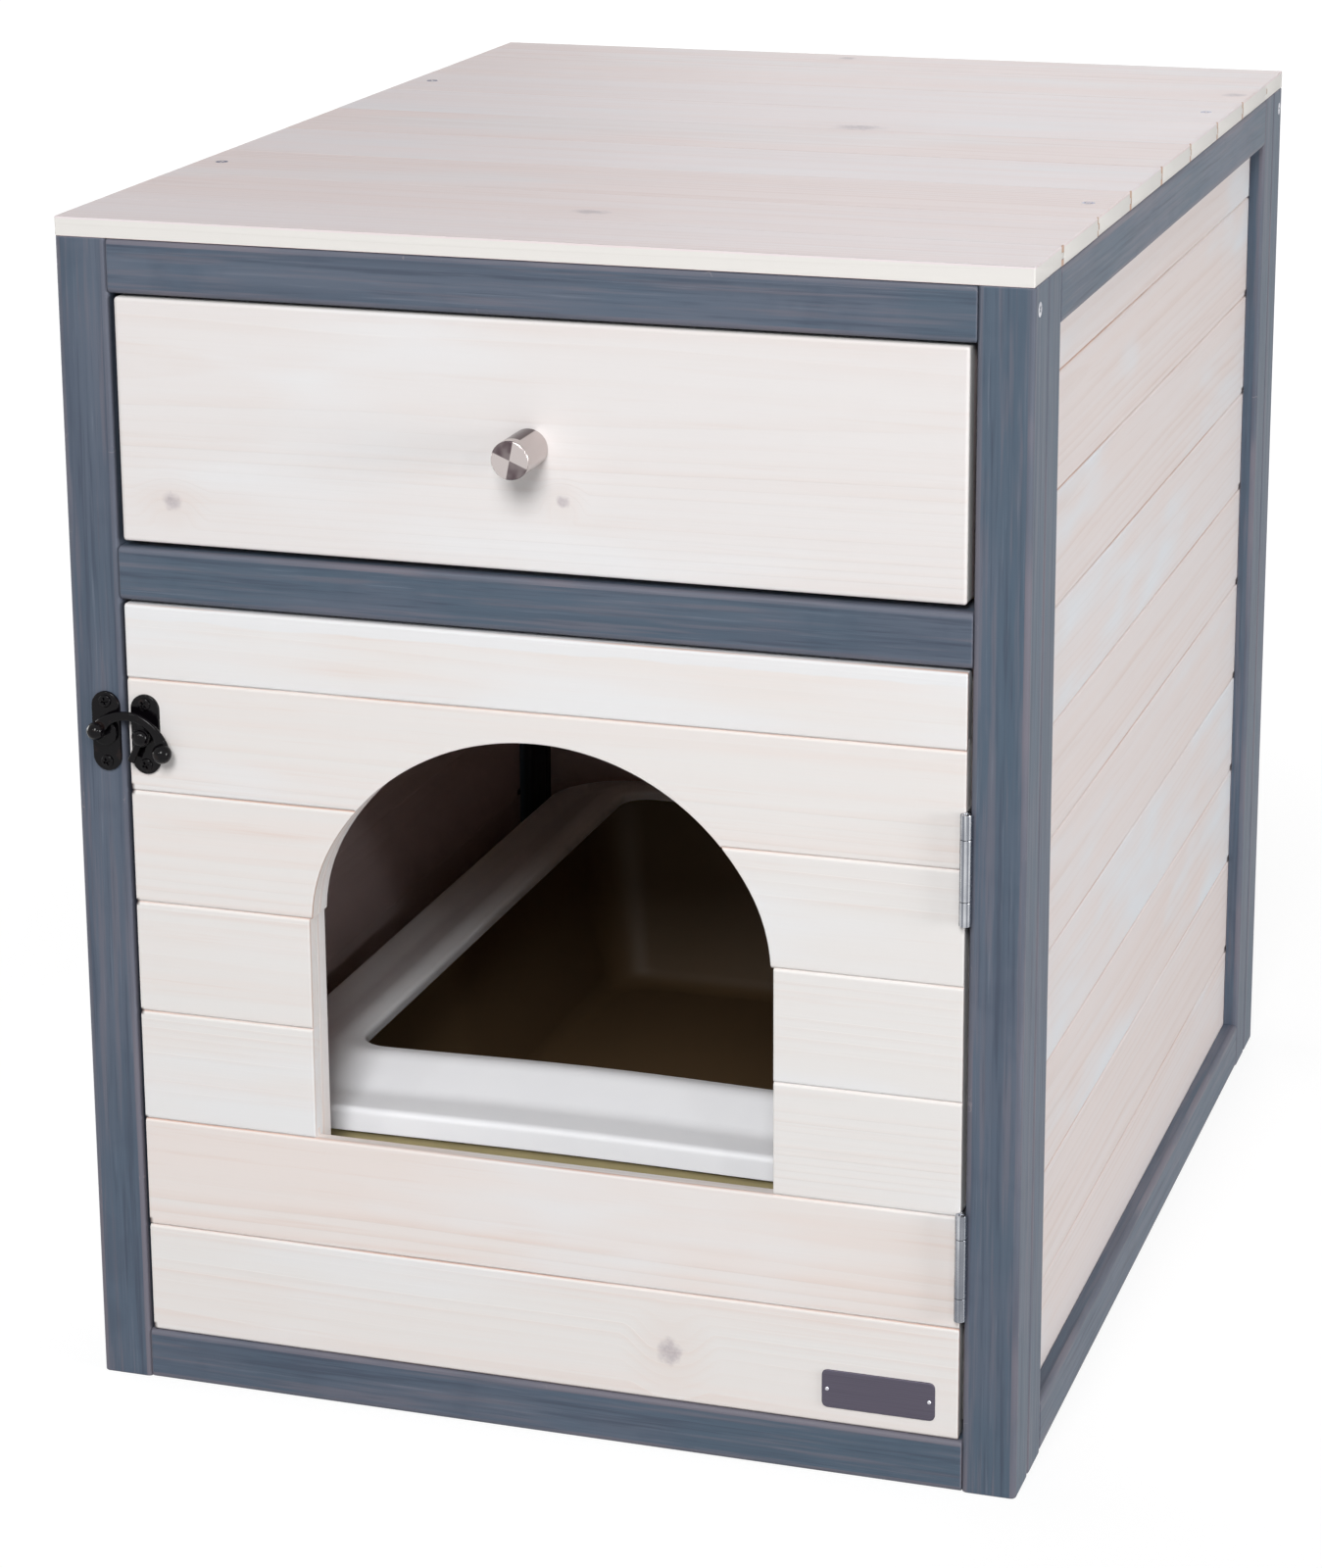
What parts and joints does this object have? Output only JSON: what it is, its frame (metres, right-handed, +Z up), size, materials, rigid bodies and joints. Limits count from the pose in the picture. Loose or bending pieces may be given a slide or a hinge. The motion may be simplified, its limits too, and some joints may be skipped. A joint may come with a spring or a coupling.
{
  "type": "litter box enclosure",
  "caption": "Boarded timber cabinet with a drawer over an arched entrance door, hiding a loose litter tray with a lift-off rim.",
  "frame": {"origin": "on the floor, in the middle of the footprint of the cabinet and its knob", "axes": "+X to the right seen from the front, +Y from the front to the back, +Z up"},
  "size_m": [0.45, 0.626, 0.564],
  "materials": {
    "stained_frame": "blue-grey translucent stain, satin, grain showing",
    "whitewashed_boards": "whitewashed pine, matt, knots showing",
    "whitewashed_top": "whitewashed pine, matt",
    "plain_pine": "untreated pine",
    "drawer_pine": "planed pine",
    "galvanised_hinge": "galvanised, bright",
    "black_latch": "black gloss",
    "brushed_knob": "turned and brushed",
    "bare_plate": "dark brushed sheet, no lettering",
    "steel_fasteners": "zinc plated",
    "olive_pan": "moulded, olive",
    "white_rim": "moulded, white"
  },
  "bodies": {
    "cabinet": {"back_boards": "whitewashed_boards", "drawer_runner_left": "plain_pine", "drawer_runner_right": "plain_pine", "floor_cleat_left": "plain_pine", "floor_cleat_right": "plain_pine", "floor_panel": "plain_pine", "frame_screws": "steel_fasteners", "front_bottom_rail": "stained_frame", "front_middle_rail": "stained_frame", "front_post_left": "stained_frame", "front_post_right": "stained_frame", "front_top_rail": "stained_frame", "hinge_pins": "galvanised_hinge", "hinge_screws_frame": "galvanised_hinge", "keeper_screws": "black_latch", "latch_keeper": "black_latch", "left_bottom_rail": "stained_frame", "left_front_stile": "stained_frame", "left_rear_stile": "stained_frame", "left_side_boards": "whitewashed_boards", "left_top_rail": "stained_frame", "lower_hinge_frame_leaf": "galvanised_hinge", "rear_bottom_rail": "stained_frame", "rear_post_left": "stained_frame", "rear_post_right": "stained_frame", "rear_top_rail": "stained_frame", "right_bottom_rail": "stained_frame", "right_front_stile": "stained_frame", "right_rear_stile": "stained_frame", "right_side_boards": "whitewashed_boards", "right_top_rail": "stained_frame", "top_boards": "whitewashed_top", "top_screws": "steel_fasteners", "upper_hinge_frame_leaf": "galvanised_hinge"},
    "door": {"door_arch_board": "whitewashed_boards", "door_batten_left": "whitewashed_boards", "door_batten_right": "whitewashed_boards", "door_board_1": "whitewashed_boards", "door_latch_screws": "black_latch", "door_left_boards": "whitewashed_boards", "door_right_boards": "whitewashed_boards", "door_sill_board": "whitewashed_boards", "door_top_board_1": "whitewashed_boards", "upper_hinge_door_leaf": "galvanised_hinge", "lower_hinge_door_leaf": "galvanised_hinge", "hinge_screws_door": "galvanised_hinge", "latch_door_plate": "black_latch", "latch_rivet": "black_latch", "name_plate": "bare_plate", "name_plate_nails": "steel_fasteners"},
    "latch_arm": {"latch_arm": "black_latch"},
    "drawer": {"drawer_front": "whitewashed_boards", "drawer_side_left": "drawer_pine", "drawer_side_right": "drawer_pine", "drawer_back": "drawer_pine", "drawer_bottom": "drawer_pine", "drawer_knob": "brushed_knob", "knob_screw": "steel_fasteners"},
    "tray": {"litter_pan": "olive_pan"},
    "tray_rim": {"litter_pan_rim": "white_rim"}
  },
  "joints": [
    {"name": "door_swing", "type": "hinge", "parent": "cabinet", "child": "door", "pos_m": [0.199, -0.2899, 0.2046], "axis": [0, 0, 1], "range_deg": [0, 175]},
    {"name": "latch_swing", "type": "hinge", "parent": "door", "child": "latch_arm", "pos_m": [-0.1893, -0.293, 0.3246], "axis": [0, 1, 0], "range_deg": [0, 75]},
    {"name": "drawer_slide", "type": "slide", "parent": "cabinet", "child": "drawer", "axis": [0, -1, 0], "range_m": [0, 0.4]},
    {"name": "tray_lift", "type": "slide", "parent": "cabinet", "child": "tray", "axis": [0, 0, 1], "range_m": [0, 0.06]},
    {"name": "rim_lift", "type": "slide", "parent": "tray", "child": "tray_rim", "axis": [0, 0, 1], "range_m": [0, 0.06]}
  ]
}
